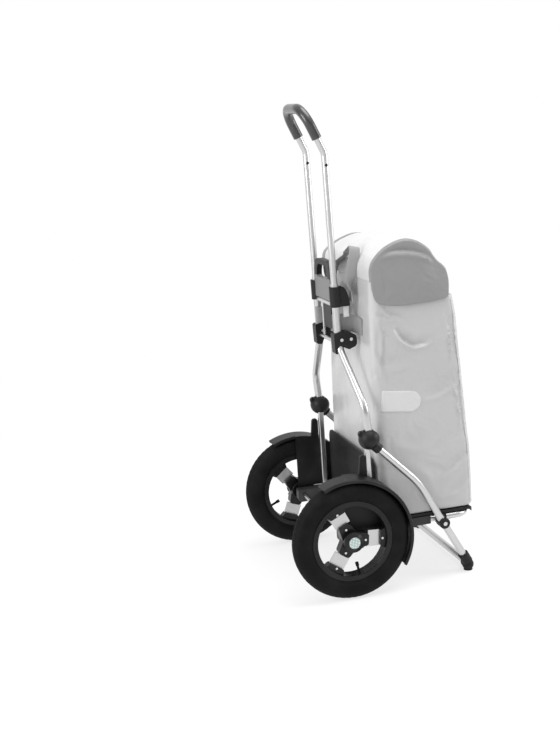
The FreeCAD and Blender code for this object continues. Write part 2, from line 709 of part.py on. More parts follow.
def hook_block(side):
    """Clamp on the frame tube with a claw that hangs the trolley on a rail."""
    sign = SIDES[side]
    body = doc.addObject("PartDesign::Body", "hook_blank_" + side)
    outline = rounded([
        (-29, 617, 5), (-50, 622, 8), (-70, 619, 8), (-87, 608, 12), (-87, 584, 12), (-66, 576, 5),
        (-52, 583, 3), (-44, 566, 3), (-31, 568, 4), (-30, 590, 4),
    ])
    pad(body, sketch(body, "YZ_Plane", [outline], offset=sign * D["tube_half"]), 26, centred=True)
    body.Placement.Base = at(0, 0, 0)
    core = feature("hook_core", rod(lower_tube_axis(side), [60, 50], D["low_tube_dia"]))
    keep(cut("hook_cut", body, core), "hook_block_" + side)
    heads = []
    for y in (-48.0, -72.0):
        for way in (-1, 1):
            face = at(sign * D["tube_half"] + way * 13, y, 601)
            heads.append(cylinder("hook_screw", 4.0, 2.2, face, X_AXIS * way))
    return heads


def bracket():
    """Moulded bracket: two sleeves with bag hooks, and a plate with a carrying loop."""
    plate = doc.addObject("PartDesign::Body", "bracket_plate")
    outline = rounded([
        (-64, 692, 3), (64, 692, 3), (64, 742, 8), (56, 789, 34), (-56, 789, 34), (-64, 742, 8),
    ])
    slot = rounded([(-45, 743, 8), (45, 743, 8), (37, 776, 22), (-37, 776, 22)])
    pad(plate, sketch(plate, "XZ_Plane", [outline, slot], offset=42), 14, centred=True)
    plate.Placement.Base = at(0, 0, 0)
    solids, cores = [plate], []
    for sign in SIDES.values():
        solids.append(cylinder("sleeve", "Dims.sleeve_dia / 2", "Dims.sleeve_length",
                               on_tube(sign, 681), TUBE_UP))
        fin = doc.addObject("PartDesign::Body", "hook_fin")
        shape = rounded([
            (-44, 728, 2), (-58, 731, 6), (-67, 723, 8), (-74, 706, 20), (-77, 681, 3), (-44, 681),
        ])
        pad(fin, sketch(fin, "YZ_Plane", [shape], offset=sign * D["tube_half"]), 12, centred=True)
        fin.Placement.Base = at(0, 0, 0)
        solids.append(fin)
        below = on_tube(sign, 670)
        cores.append(cylinder("sleeve_core", "Dims.low_tube_dia / 2", 67.1, below, TUBE_UP))
        cores.append(cylinder("handle_core", "Dims.low_tube_bore / 2", 100, below, TUBE_UP))
    keep(cut("bracket_cut", fuse("bracket_solid", solids), fuse("bracket_cores", cores)), "mid_bracket")


def handle():
    """Telescopic handle: two straight tubes, the bow that plugs into them and its grip."""
    for side, sign in SIDES.items():
        foot, head = on_tube(sign, D["handle_foot"]), on_tube(sign, D["handle_joint"])
        outer = rod([foot, head], [], D["handle_dia"])
        snap = on_tube(sign, D["snap_height"])
        hole = Part.makeCylinder(D["snap_dia"] / 2 + 0.05, 20, snap, -X_AXIS)
        shape = outer.cut(rod([foot, head], [], D["handle_bore"])).cut(hole)
        keep(feature("handle_tube_shape", shape), "handle_tube_" + side)
        button = cylinder("snap_pin", "Dims.snap_dia / 2", 4.2, snap - X_AXIS * 5.8, -X_AXIS)
        keep(button, "snap_button_" + side)
    bow_top = {sign: at(sign * D["tube_half"], D["bow_y"], D["bow_height"]) for sign in (-1, 1)}
    heads = {sign: on_tube(sign, D["handle_joint"]) for sign in (-1, 1)}
    points = [heads[-1], heads[-1] + TUBE_UP * 12, bow_top[-1], bow_top[1],
              heads[1] + TUBE_UP * 12, heads[1]]
    corner = D["bow_corner"]
    bends = [40, corner, corner, 40]
    bow = tube(points, bends, D["handle_dia"], D["handle_bore"] - 2)
    for sign in (-1, 1):
        spigot = rod([heads[sign] - TUBE_UP * 44, heads[sign] + TUBE_UP * 2], [], D["spigot_dia"])
        bore = rod([heads[sign] - TUBE_UP * 44, heads[sign] + TUBE_UP * 2], [], D["handle_bore"] - 2)
        snap = on_tube(sign, D["snap_height"])
        room = Part.makeCylinder(D["snap_dia"] / 2 + 0.05, 20, snap, -X_AXIS)
        bow = bow.fuse(spigot.cut(bore)).cut(room)
    keep(feature("handle_bow_shape", bow.removeSplitter()), "handle_bow")
    ends = {}
    for sign in (-1, 1):
        origin = heads[sign] + TUBE_UP * 12
        along = (bow_top[sign] - origin).normalize()
        ends[sign] = origin + along * ((D["grip_start"] - origin.z) / along.z)
    grip_points = [ends[-1], bow_top[-1], bow_top[1], ends[1]]
    grip = tube(grip_points, [corner, corner], D["grip_dia"], D["handle_dia"])
    keep(feature("grip_shape", grip), "grip")


for side in SIDES:
    lower_tube(side)
    knuckle(side)
screws = [head for side in SIDES for head in hook_block(side)]
keep(group("hook_screws", screws), "hook_screws")
bracket()
BAR_HALF = D["tube_half"] - 13.6
ROD_FOOT = at(29, -42.4, 592 + D["hook_bar_dia"] / 2 + 0.1)
keep(fuse("cross_tube_solid", [
    cylinder("cross_bar", 6.5, 2 * BAR_HALF, at(-BAR_HALF, -42.4, 684.5), X_AXIS),
    cylinder("upright_rod", 2.8, 684 - ROD_FOOT.z, ROD_FOOT),
]), "cross_tube")
keep(cylinder("hook_bar", "Dims.hook_bar_dia / 2", 2 * BAR_HALF, at(-BAR_HALF, -42, 592), X_AXIS),
     "hook_bar")
hanger = new_body("hanger_plate")
hanger_outline = rounded([(-40, 621, 6), (17, 621, 6), (17, 677.9), (-40, 677.9)])
pad(hanger, sketch(hanger, "XZ_Plane", [hanger_outline], offset=40.5), 4)
hanger.Placement.Base = at(0, 0, 0)
handle()

# Checks and export ----------------------------------------------------------------------

doc.recompute()
for obj in doc.Objects:
    if "Invalid" in obj.State or "Error" in obj.State:
        raise RuntimeError(f"{obj.Label} did not recompute: {obj.State}")
os.makedirs("parts", exist_ok=True)
for obj in nodes:
    if obj.Shape.isNull() or not obj.Shape.isValid():
        raise RuntimeError(f"{obj.Label} has no valid shape")
    obj.Shape.exportStep(f"parts/{obj.Label}.step")
    bounds = obj.Shape.BoundBox
    print(f"{obj.Label}: {len(obj.Shape.Solids)} solid, {obj.Shape.Volume / 1000:.1f} cm3, "
          f"X {bounds.XMin:.1f}..{bounds.XMax:.1f} Y {bounds.YMin:.1f}..{bounds.YMax:.1f} "
          f"Z {bounds.ZMin:.1f}..{bounds.ZMax:.1f}")
print(len(nodes), "nodes")
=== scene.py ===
import math

import bpy
from mathutils import Matrix, Vector, noise
from mathutils.bvhtree import BVHTree


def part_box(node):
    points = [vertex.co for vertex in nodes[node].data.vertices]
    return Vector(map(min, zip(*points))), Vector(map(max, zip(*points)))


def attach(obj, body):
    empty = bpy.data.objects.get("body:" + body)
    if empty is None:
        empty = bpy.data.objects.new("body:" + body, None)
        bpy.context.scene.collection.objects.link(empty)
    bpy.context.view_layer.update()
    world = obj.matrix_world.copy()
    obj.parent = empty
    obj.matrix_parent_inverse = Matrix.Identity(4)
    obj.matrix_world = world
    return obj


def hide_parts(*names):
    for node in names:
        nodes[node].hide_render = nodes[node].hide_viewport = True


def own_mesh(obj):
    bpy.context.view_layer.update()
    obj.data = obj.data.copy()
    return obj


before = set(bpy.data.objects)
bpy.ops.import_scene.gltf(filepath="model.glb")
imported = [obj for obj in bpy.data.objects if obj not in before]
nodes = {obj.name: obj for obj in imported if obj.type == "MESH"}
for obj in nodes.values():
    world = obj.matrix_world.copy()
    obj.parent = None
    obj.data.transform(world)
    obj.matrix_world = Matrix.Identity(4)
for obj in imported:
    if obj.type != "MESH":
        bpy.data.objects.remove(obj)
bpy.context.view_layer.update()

scene = bpy.context.scene
SIDES = {"left": -1, "right": 1}


def middle(node):
    low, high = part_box(node)
    return (low + high) / 2


AXLE = middle("axle")


def at(x, y, z):
    """A point in millimetres, with its depth counted from the axle."""
    return Vector((x / 1000, y / 1000 + AXLE.y, z / 1000))


# Materials ------------------------------------------------------------------------------


class Graph:
    """A short way to write one material's nodes."""

    def __init__(self, name):
        self.material = bpy.data.materials.new(name)
        self.material.use_nodes = True
        self.tree = self.material.node_tree
        self.shader = self.tree.nodes["Principled BSDF"]
        self.place = self.add("ShaderNodeTexCoord").outputs["Object"]

    def add(self, kind, inputs=None, **settings):
        node = self.tree.nodes.new(kind)
        for key, value in settings.items():
            setattr(node, key, value)
        for key, value in (inputs or {}).items():
            self.feed(node.inputs[key], value)
        return node

    def feed(self, socket, value):
        if isinstance(value, bpy.types.NodeSocket):
            self.tree.links.new(value, socket)
        else:
            socket.default_value = value

    def noise(self, scale, detail=3.0, stretch=None):
        place = self.place
        if stretch:
            place = self.add("ShaderNodeMapping", {"Vector": place, "Scale": stretch}).outputs[0]
        inputs = {"Vector": place, "Scale": scale, "Detail": detail}
        return self.add("ShaderNodeTexNoise", inputs).outputs["Fac"]

    def wave(self, scale, axis):
        return self.add("ShaderNodeTexWave", {"Vector": self.place, "Scale": scale},
                        bands_direction=axis).outputs["Fac"]

    def span(self, value, low, high, start=0.0, end=1.0):
        return self.add("ShaderNodeMapRange", {"Value": value, "From Min": start, "From Max": end,
                                               "To Min": low, "To Max": high}).outputs[0]

    def math(self, operation, a, b=0.0):
        return self.add("ShaderNodeMath", {0: a, 1: b}, operation=operation).outputs[0]

    def blend(self, share, a, b):
        mix = self.add("ShaderNodeMix", data_type="RGBA")
        self.feed(mix.inputs["Factor"], share)
        self.feed(mix.inputs["A"], a)
        self.feed(mix.inputs["B"], b)
        return mix.outputs["Result"]

    def bump(self, height, strength, distance):
        node = self.add("ShaderNodeBump", {"Height": height, "Strength": strength, "Distance": distance})
        self.feed(self.shader.inputs["Normal"], node.outputs[0])

    def finish(self, colour, roughness, **plain):
        self.feed(self.shader.inputs["Base Color"], colour)
        self.feed(self.shader.inputs["Roughness"], roughness)
        for key, value in plain.items():
            self.shader.inputs[key.replace("_", " ")].default_value = value
        return self.material


def grey(value, tint=(1.0, 1.0, 1.0)):
    return (value * tint[0], value * tint[1], value * tint[2], 1.0)


def metal(name, value, rough, stretch, grain=0.15):
    """Bare metal with grain along one direction and soft smudges."""
    g = Graph(name)
    smudge = g.noise(14.0, 4.0)
    lines = g.noise(900.0, 2.0, stretch)
    colour = g.blend(smudge, grey(value * 0.9), grey(min(1.0, value * 1.08), (1.0, 1.0, 1.01)))
    roughness = g.span(g.math("ADD", g.math("MULTIPLY", smudge, 0.5), g.math("MULTIPLY", lines, 0.5)),
                       rough * 0.75, rough * 1.3)
    g.bump(lines, grain, 0.0002)
    return g.finish(colour, roughness, Metallic=1.0)


def moulded(name, value, rough, texture=1400.0, depth=0.25, shine=0.28, coat=0.0):
    """Moulded plastic or rubber with a fine spark texture, rubbed a little paler in places."""
    g = Graph(name)
    wear = g.span(g.noise(22.0, 5.0), 0.0, 1.0, 0.45, 0.75)
    colour = g.blend(wear, grey(value), grey(value * 1.7 + 0.004))
    grain = g.noise(texture, 2.0)
    g.bump(grain, depth, 0.0003)
    return g.finish(colour, g.span(wear, rough, min(1.0, rough * 1.25)), Specular_IOR_Level=shine,
                    Coat_Weight=coat, Coat_Roughness=0.2)


def reflector(name):
    """Clear reflector: pale cells in rows, with darker lines between them."""
    g = Graph(name)
    split = g.add("ShaderNodeSeparateXYZ", {"Vector": g.place})
    face = g.add("ShaderNodeCombineXYZ", {"X": split.outputs["Y"], "Y": split.outputs["Z"]})
    cells = g.add("ShaderNodeTexVoronoi", {"Vector": face.outputs[0], "Scale": 260.0, "Randomness": 0.0},
                  voronoi_dimensions="2D", feature="F1", distance="CHEBYCHEV").outputs["Distance"]
    share = g.span(cells, 1.0, 0.0, 0.32, 0.42)
    colour = g.blend(share, (0.08, 0.20, 0.18, 1.0), (0.84, 0.92, 0.90, 1.0))
    g.bump(cells, 0.5, 0.001)
    return g.finish(colour, g.span(share, 0.35, 0.1))


# The bracket's grey middle plate: how far it reaches to each side, and its top, in the bracket's own frame.
BRACKET_PLATE_HALF = 0.0605
BRACKET_PLATE_TOP = (nodes["mid_bracket"].matrix_world.inverted() @ Vector((0, 0, 0.746))).z


def bracket_plastic(name):
    """Black moulding whose flat middle plate is a mid grey."""
    g = Graph(name)
    split = g.add("ShaderNodeSeparateXYZ", {"Vector": g.place})
    across = g.math("LESS_THAN", g.math("ABSOLUTE", split.outputs["X"], 0.0), BRACKET_PLATE_HALF)
    low = g.math("LESS_THAN", split.outputs["Z"], BRACKET_PLATE_TOP)
    plate = g.math("MULTIPLY", across, low)
    worn = g.noise(30.0, 4.0)
    dark = g.blend(worn, grey(0.010), grey(0.014))
    pale = g.blend(worn, grey(0.17), grey(0.22))
    g.bump(g.noise(1400.0, 2.0), 0.2, 0.0003)
    return g.finish(g.blend(plate, dark, pale), g.span(worn, 0.4, 0.5), Specular_IOR_Level=0.3)


def cloth(name, value, rough, sheen=0.12, crumple=0.35, coat=0.0, rear=None):
    """Coated woven fabric: crossed threads, slight shade changes and a crumpled coating. With rear set,
    surfaces whose normal faces the user's side are painted paler: painted light for the light on that side."""
    g = Graph(name)
    pitch = 190.0
    across = g.math("ADD", g.wave(pitch, "X"), g.wave(pitch, "Y"))
    weave = g.math("MULTIPLY", across, g.math("ADD", g.wave(pitch, "Z"), 0.4))
    shade = g.noise(9.0, 5.0)
    colour = g.blend(shade, grey(value * 0.93), grey(value * 1.06))
    # Painted light: where the normal faces +Y, the user's side, the colour blends to the paler rear value to
    # stand in for the light that falls there.
    if rear:
        facing = g.add("ShaderNodeSeparateXYZ", {"Vector": g.add("ShaderNodeTexCoord").outputs["Normal"]})
        colour = g.blend(g.span(facing.outputs["Y"], 0.0, 1.0, 0.35, 0.85), colour, grey(rear))
    folds = g.add("ShaderNodeTexNoise", {"Vector": g.place, "Scale": 17.0, "Detail": 2.0,
                                         "Distortion": 0.9}).outputs["Fac"]
    soft = g.add("ShaderNodeBump", {"Height": folds, "Strength": crumple, "Distance": 0.012})
    fine = g.add("ShaderNodeBump", {"Height": weave, "Strength": 0.12, "Distance": 0.0003,
                                    "Normal": soft.outputs[0]})
    g.feed(g.shader.inputs["Normal"], fine.outputs[0])
    fibres = g.span(g.noise(300.0, 3.0), rough * 0.9, rough * 1.1)
    return g.finish(colour, fibres, Sheen_Weight=sheen, Sheen_Roughness=0.5,
                    Coat_Weight=coat, Coat_Roughness=0.22)


ALONG_X, ALONG_Z = (0.02, 1.0, 1.0), (1.0, 1.0, 0.02)
look = {
    "tube": metal("satin_aluminium", 0.62, 0.3, ALONG_Z),
    "bar": metal("satin_aluminium_bar", 0.62, 0.28, ALONG_X),
    "spoke": metal("brushed_spoke", 0.6, 0.34, ALONG_X, 0.3),
    "steel": metal("bright_steel", 0.55, 0.2, ALONG_X),
    "screw": metal("plated_screw", 0.6, 0.2, ALONG_X),
    "arm": moulded("dark_powder_coat", 0.03, 0.42, 2200.0, 0.2, shine=0.35),
    "black": moulded("moulded_black", 0.009, 0.42),
    "gloss": moulded("hub_black", 0.006, 0.26, 2500.0, 0.08),
    "grip": moulded("grip_rubber", 0.02, 0.32, 1100.0, 0.25, shine=0.5, coat=0.7),
    "boot": moulded("boot_rubber", 0.010, 0.62, 900.0, 0.3),
    "tyre": moulded("tyre_rubber", 0.005, 0.62, 700.0, 0.3, shine=0.12),
    "bracket": bracket_plastic("bracket_plastic"),
    "clear": reflector("reflector_clear"),
    # rear=0.54 paints the bag's user-facing surfaces paler: painted light.
    "bag": cloth("bag_fabric", 0.48, 0.36, coat=0.6, rear=0.54),
    "lid": cloth("lid_fabric", 0.62, 0.4, coat=0.2),
    "ear": cloth("ear_fabric", 0.26, 0.45, crumple=0.5),
    "patch": cloth("reflective_patch", 0.62, 0.3, crumple=0.1),
    "webbing": cloth("dark_webbing", 0.31, 0.75, crumple=0.1),
    "tape": cloth("pale_webbing", 0.8, 0.7, crumple=0.1),
}

FINISHES = {
    "tube": ("tray_tube", "stand_tube", "strut", "lower_tube", "handle_tube", "handle_bow"),
    "bar": ("cross_tube", "hook_bar"), "bracket": ("mid_bracket",), "spoke": ("spokes",),
    "steel": ("axle", "pivot_pins"),
    "screw": ("clip_bolts", "hook_screws", "wheel_screws"), "arm": ("side_arm",),
    "gloss": ("hub", "rim", "release_tab"), "grip": ("grip",), "boot": ("stand_boot",),
    "tyre": ("tyre", "inner_tube"), "clear": ("reflector",), "bag": ("bag_body",), "lid": ("bag_lid",),
}


def finish_of(node):
    for finish, starts in FINISHES.items():
        if node.startswith(starts):
            return finish
    return "black"


for name, obj in nodes.items():
    obj.data.materials.clear()
    obj.data.materials.append(look[finish_of(name)])


# Mesh helpers ---------------------------------------------------------------------------


def make_piece(name, points, faces, material, body):
    """A smooth-shaded mesh piece that rides on a body."""
    mesh = bpy.data.meshes.new(name)
    mesh.from_pydata([tuple(p) for p in points], [], faces)
    mesh.validate()
    mesh.shade_smooth()
    mesh.materials.append(material)
    piece = bpy.data.objects.new(name, mesh)
    scene.collection.objects.link(piece)
    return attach(piece, body)


def grid_faces(rows, columns, closed=False):
    """Faces between rows of points. closed joins the last column to the first."""
    faces = []
    for row in range(rows - 1):
        low, high = row * columns, (row + 1) * columns
        for column in range(columns if closed else columns - 1):
            after = (column + 1) % columns
            faces.append((low + column, low + after, high + after, high + column))
    return faces


def smooth_line(points, count):
    """Evenly spaced points on a smooth curve through the given points."""
    fine, last = [], len(points) - 1
    for i in range(last):
        p0, p1, p2, p3 = (points[min(max(j, 0), last)] for j in (i - 1, i, i + 1, i + 2))
        for step in range(24):
            t = step / 24
            fine.append(0.5 * (2 * p1 + (p2 - p0) * t + (2 * p0 - 5 * p1 + 4 * p2 - p3) * t ** 2
                               + (3 * p1 - p0 - 3 * p2 + p3) * t ** 3))
    fine.append(points[-1])
    runs = [0.0]
    for a, b in zip(fine, fine[1:]):
        runs.append(runs[-1] + (b - a).length)
    spaced, i = [], 0
    for step in range(count):
        goal = runs[-1] * step / (count - 1)
        while i < len(runs) - 2 and runs[i + 1] < goal:
            i += 1
        share = (goal - runs[i]) / max(runs[i + 1] - runs[i], 1e-9)
        spaced.append(fine[i].lerp(fine[i + 1], min(max(share, 0.0), 1.0)))
    return spaced


def ease(value, low, high):
    """0 below low, 1 above high, and a smooth step between."""
    t = min(max((value - low) / (high - low), 0.0), 1.0)
    return t * t * (3 - 2 * t)


def solidify(piece, thickness, even=True):
    """Give a sheet its thickness as plain mesh, so that flattening it later can't tear the shell."""
    shell = piece.modifiers.new("thickness", "SOLIDIFY")
    shell.thickness, shell.offset = thickness, -1.0
    shell.use_even_offset = even
    solid = bpy.data.meshes.new_from_object(piece.evaluated_get(bpy.context.evaluated_depsgraph_get()))
    piece.modifiers.clear()
    piece.data = solid


# A strap's section, slightly crowned: shares of half its width and of half its thickness.
STRAP_SECTION = [(-1, 0.5), (-0.94, 1), (-0.45, 1.0), (0, 1.08), (0.45, 1.0), (0.94, 1), (1, 0.5),
                 (1, -0.5), (0.94, -1), (0, -1), (-0.94, -1), (-1, -0.5)]


def ribbon(name, path, widths, thick, material, body, width=0.022):
    """A flat strap along a path. widths gives the direction of its width at each point."""
    points = []
    for i, point in enumerate(path):
        ahead = (path[min(i + 1, len(path) - 1)] - path[max(i - 1, 0)]).normalized()
        across = (widths[i] - ahead * widths[i].dot(ahead)).normalized()
        out = ahead.cross(across)
        for share, lift in STRAP_SECTION:
            points.append(point + across * width / 2 * share + out * thick / 2 * lift)
    ring = len(STRAP_SECTION)
    faces = grid_faces(len(path), ring, closed=True)
    faces += [tuple(range(ring))[::-1], tuple(range((len(path) - 1) * ring, len(path) * ring))]
    return make_piece(name, points, faces, material, body)


# Tyres ----------------------------------------------------------------------------------


def tyre_section(half, crown, bead):
    """The closed section of a tyre, as (across, radius) points from bead to bead and back inside."""
    def mirrored(points):
        return points + [Vector((-p.x, p.y)) for p in points[-2::-1]]
    outside = [(0.62, 0.0), (0.70, 0.10), (0.93, 0.28), (1.0, 0.47), (0.94, 0.68), (0.76, 0.86), (0.42, 0.97),
               (0.0, 1.0)]
    inside = [(0.46, 0.03), (0.74, 0.32), (0.78, 0.6), (0.5, 0.84), (0.0, 0.89)]
    depth = crown - bead
    outer = mirrored([Vector((-u * half, bead + v * depth)) for u, v in outside])
    inner = mirrored([Vector((-u * half, bead + v * depth)) for u, v in inside])
    return smooth_line(outer, 65), smooth_line(inner, 17)[::-1]


def tread_depth(across, turn):
    """How deep the tread is cut: two grooves round the tyre, and slanted cuts towards each shoulder."""
    share = abs(across)
    groove = 0.0016 * max(math.exp(-((share - 0.16) / 0.05) ** 2), math.exp(-((share - 0.52) / 0.045) ** 2))
    pitch = (turn * 60 / math.tau + 1.6 * share + (0.5 if across > 0 else 0.0)) % 1.0
    cut = 0.0013 * ease(share, 0.16, 0.24) * (1 - ease(share, 0.78, 0.9)) if pitch < 0.25 else 0.0
    return max(groove, cut)


def make_tyre(side):
    low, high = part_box("tyre_" + side)
    centre, crown, half = (low + high) / 2, (high.z - low.z) / 2, (high.x - low.x) / 2
    rim_low, rim_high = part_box("rim_" + side)
    bead = (rim_high.z - rim_low.z) / 2 - 0.0045
    outer, inner = tyre_section(half, crown, bead)
    steps, points = 240, []
    for step in range(steps):
        turn = math.tau * step / steps
        for p in outer:
            share = p.x / half
            face = ease(p.y, bead + 0.6 * (crown - bead), bead + 0.8 * (crown - bead))
            radius = p.y - face * tread_depth(share, turn)
            rib = sum(math.exp(-((p.y - bead - place) / 0.0012) ** 2) for place in (0.014, 0.034))
            x = p.x + math.copysign(0.0006 * rib * (1 - face), p.x)
            points.append(centre + Vector((x, -radius * math.sin(turn), radius * math.cos(turn))))
        for p in inner:
            points.append(centre + Vector((p.x, -p.y * math.sin(turn), p.y * math.cos(turn))))
    ring = len(outer) + len(inner)
    faces = []
    for step in range(steps):
        a, b = step * ring, (step + 1) % steps * ring
        for k in range(ring):
            after = (k + 1) % ring
            faces.append((a + k, b + k, b + after, a + after))
    tyre = make_piece("tyre_tread_" + side, points, faces, look["tyre"], "wheel_" + side)
    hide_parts("tyre_" + side)


# Bag ------------------------------------------------------------------------------------

bag_low, bag_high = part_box("bag_body")
lid_low, lid_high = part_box("bag_lid")
BAG_HALF = bag_high.x
RIM_REAR, RIM_FRONT = bag_high.z, bag_high.z - 0.062

# Creases in the side panels: (depth from the axle, height) points in millimetres, then width and depth.
CREASES = [
    ([(-154, 634), (-162, 618), (-176, 602), (-198, 588), (-218, 588), (-236, 592)], 6.5, 9.5),
    ([(-108, 672), (-124, 668), (-138, 660), (-152, 664)], 7, 3.6),
    ([(-130, 690), (-146, 672), (-168, 660), (-186, 652)], 8, 3.4),
    ([(-214, 462), (-244, 462), (-276, 474), (-306, 492)], 9, 3.4),
    ([(-248, 254), (-282, 270), (-326, 306)], 8, 5.0),
    ([(-262, 206), (-292, 216), (-322, 244)], 8, 4.2),
    ([(-105, 668), (-112, 620), (-106, 560), (-114, 500)], 9, 3.6),
    ([(-104, 590), (-116, 566), (-126, 530)], 8, 2.6),
    ([(-150, 360), (-190, 346), (-232, 352)], 12, 2.4),
    ([(-118, 560), (-150, 548), (-186, 556)], 12, 2.2),
    ([(-284, 660), (-298, 600), (-302, 530)], 8, 3.2),
    ([(-300, 520), (-310, 470), (-318, 400), (-320, 350)], 9, 2.6),
    ([(-200, 300), (-232, 268), (-250, 220)], 12, 1.8),
]
RIGHT_SHIFT = (8, 46)      # how far forward and down the right side's creases lie
# The bag's front, seen from the side, in the same millimetres.
FRONT_LINE = [
    (-340, 150), (-340.5, 200), (-340, 257), (-339, 318), (-335.5, 350), (-331.5, 411),
    (-328, 472), (-323.5, 532), (-319, 592), (-315, 651), (-309, 690), (-300, 760),
]


def crease_lines(side):
    """The creases of one side as fine lines. The right side's are shifted, so that the sides differ."""
    lines = []
    for points, width, depth in CREASES:
        if side == "right":
            points = [(y - RIGHT_SHIFT[0], z - RIGHT_SHIFT[1]) for y, z in points]
        line = smooth_line([Vector((y / 1000 + AXLE.y, z / 1000)) for y, z in points], 26)
        lines.append((line, width / 1000, depth / 1000))
    return lines


def drawn_in(lines, y, z):
    """How far the fabric is drawn in at a point of a panel: gently above a crease and sharply below."""
    total, here = 0.0, Vector((y, z))
    for line, width, depth in lines:
        gaps = [(here - p).length for p in line]
        nearest = min(range(len(line)), key=gaps.__getitem__)
        above = here.y > line[nearest].y
        reach = gaps[nearest] / (width * (2.0 if above else 0.75))
        if reach < 4:
            taper = math.sin(math.pi * (nearest + 0.7) / (len(line) + 0.4)) ** 0.6
            lip = 0.0 if above else 0.45 * math.exp(-((reach - 1.9) / 0.8) ** 2)
            total += depth * taper * (math.exp(-reach ** 2) - lip)
    return total


def front_at(z):
    """The bag's front leans back as it rises, and tucks in under the hood."""
    height = z * 1000
    for (y0, z0), (y1, z1) in zip(FRONT_LINE, FRONT_LINE[1:]):
        if height <= z1:
            break
    share = min(max((height - z0) / (z1 - z0), 0.0), 1.0)
    return (y0 + (y1 - y0) * share) / 1000 + AXLE.y


def rear_at(z):
    return bag_high.y - 0.0005 - 0.009 * (z - bag_low.z) / (bag_high.z - bag_low.z)


def bag_outline(z):
    """(point, outward direction, panel, share along the panel) round the bag at one height, from above
    counter-clockwise."""
    half = BAG_HALF - 0.0005 - 0.003 * (z - bag_low.z) / (bag_high.z - bag_low.z)
    front, rear, soft, tight = front_at(z), rear_at(z), 0.024, 0.026
    centres = [(half - tight, rear - tight, tight), (tight - half, rear - tight, tight),
               (soft - half, front + soft, soft), (half - soft, front + soft, soft)]
    sides = [("right", 60), ("rear", 30), ("left", 60), ("front", 34)]
    outline = []
    for i, (panel, count) in enumerate(sides):
        before, after = centres[i - 1], centres[i]
        out = Vector((math.cos(i * math.pi / 2), math.sin(i * math.pi / 2), 0))
        start = Vector((before[0], before[1], z)) + out * before[2]
        end = Vector((after[0], after[1], z)) + out * after[2]
        for step in range(count):
            outline.append((start.lerp(end, step / count), out, panel, step / count))
        for step in range(9):
            angle = (i + step / 9) * math.pi / 2
            out = Vector((math.cos(angle), math.sin(angle), 0))
            outline.append((Vector((after[0], after[1], z)) + out * after[2], out, "corner", step / 9))
    return outline


def bag_point(point, out, panel, share, height, creases):
    """A point of the bag's fabric, with its crown, creases and small wrinkles."""
    crown = {"front": 0.004, "left": 0.0012, "right": 0.0012, "rear": -0.001, "corner": 0.0}[panel]
    swell = crown * math.sin(math.pi * share) * math.sin(math.pi * min(height * 1.1, 1.0)) ** 0.7
    wave = noise.noise(Vector((point.x * 9, point.y * 9, point.z * 5)) + Vector((3.1, 0, 0)))
    ripple = noise.noise(Vector((point.x * 26, point.y * 26, point.z * 13)))
    held = math.sin(math.pi * min(max(height, 0.0), 1.0)) ** 0.5
    loose = (0.0022 * wave + 0.0009 * ripple) * held
    side = "left" if point.x < 0 else "right"
    nearness = ease(abs(out.x), 0.3, 0.9)
    pull = drawn_in(creases[side], point.y, point.z) * nearness if nearness else 0.0
    return point + out * (swell + min(loose, 0.0012) - pull)


def make_bag():
    """The sewn shell: a floor on the base plate, a rounded lower edge, and walls up to the slanted rim."""
    creases = {side: crease_lines(side) for side in SIDES}
    low, edge, rows = bag_low.z + 0.0006, 0.009, 170
    foot = low + edge
    levels = [bag_outline(foot + (RIM_REAR - foot) * i / (rows - 1)) for i in range(rows)]
    columns = len(levels[0])
    centre = sum((p[0] for p in levels[0]), Vector()) / columns
    points = []
    for inward in (0.06, 0.3, 0.55, 0.8, 0.93):
        middle_point = Vector((centre.x, centre.y, low))
        points += [middle_point + (p[0] - p[1] * edge - centre) * inward for p in levels[0]]
    for ring in range(5):
        turn = ring / 5 * math.pi / 2
        for p in levels[0]:
            place = p[0] - p[1] * edge * (1 - math.sin(turn))
            points.append(Vector((place.x, place.y, low + edge * (1 - math.cos(turn)))))
    for row in range(rows):
        height = row / (rows - 1)
        for column in range(columns):
            depth = (levels[rows // 2][column][0].y - bag_low.y) / (bag_high.y - bag_low.y)
            z = foot + (RIM_FRONT + (RIM_REAR - RIM_FRONT) * depth - foot) * height
            level = (z - foot) / (RIM_REAR - foot) * (rows - 1)
            under = min(int(level), rows - 2)
            place = levels[under][column][0].lerp(levels[under + 1][column][0], level - under)
            points.append(bag_point(place, *levels[row][column][1:], height, creases))
    faces = [tuple(range(columns))[::-1]] + grid_faces(rows + 10, columns, closed=True)
    bag = make_piece("bag_shell", points, faces, look["bag"], "chassis")
    solidify(bag, 0.0022)
    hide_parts("bag_body")
    return bag


# Hood -----------------------------------------------------------------------------------

# The ear's outline from its rear upper end over the crest to its front lower corner, and back below.
# Each point is (share of the lid's depth from the front, share of its height).
EAR_TOP = [(1.004, 0.43), (1.008, 0.576), (0.982, 0.70), (0.917, 0.804), (0.82, 0.903), (0.693, 0.975),
           (0.565, 1.003), (0.446, 0.968), (0.354, 0.902), (0.279, 0.818), (0.238, 0.737), (0.19, 0.652),
           (0.114, 0.563), (0.078, 0.492), (0.056, 0.375), (0.051, 0.261), (0.058, 0.10)]
EAR_LOW = [(1.004, 0.43), (0.998, 0.276), (0.975, 0.161), (0.93, 0.097), (0.854, 0.06), (0.761, 0.042),
           (0.605, 0.028), (0.416, 0.035), (0.225, 0.052), (0.11, 0.066), (0.058, 0.10)]
EAR_WRAP = {"left": 0.002, "right": 0.018}     # how far each ear's fabric laps over onto the roof
HOOD_SLUMP = 0.017      # how much lower the hood stands on its right side


def lid_place(share, height):
    """A point of the lid's side view, from shares of its depth and height."""
    y = lid_low.y + (lid_high.y - lid_low.y) * share
    return Vector((y, lid_low.z + (lid_high.z - lid_low.z) * height))


def outward(line):
    """The direction out of the hood at each point of a line that runs from the rear over the crest."""
    directions = []
    for i in range(len(line)):
        along = line[min(i + 1, len(line) - 1)] - line[max(i - 1, 0)]
        directions.append(Vector((along.y, -along.x)).normalized())
    return directions


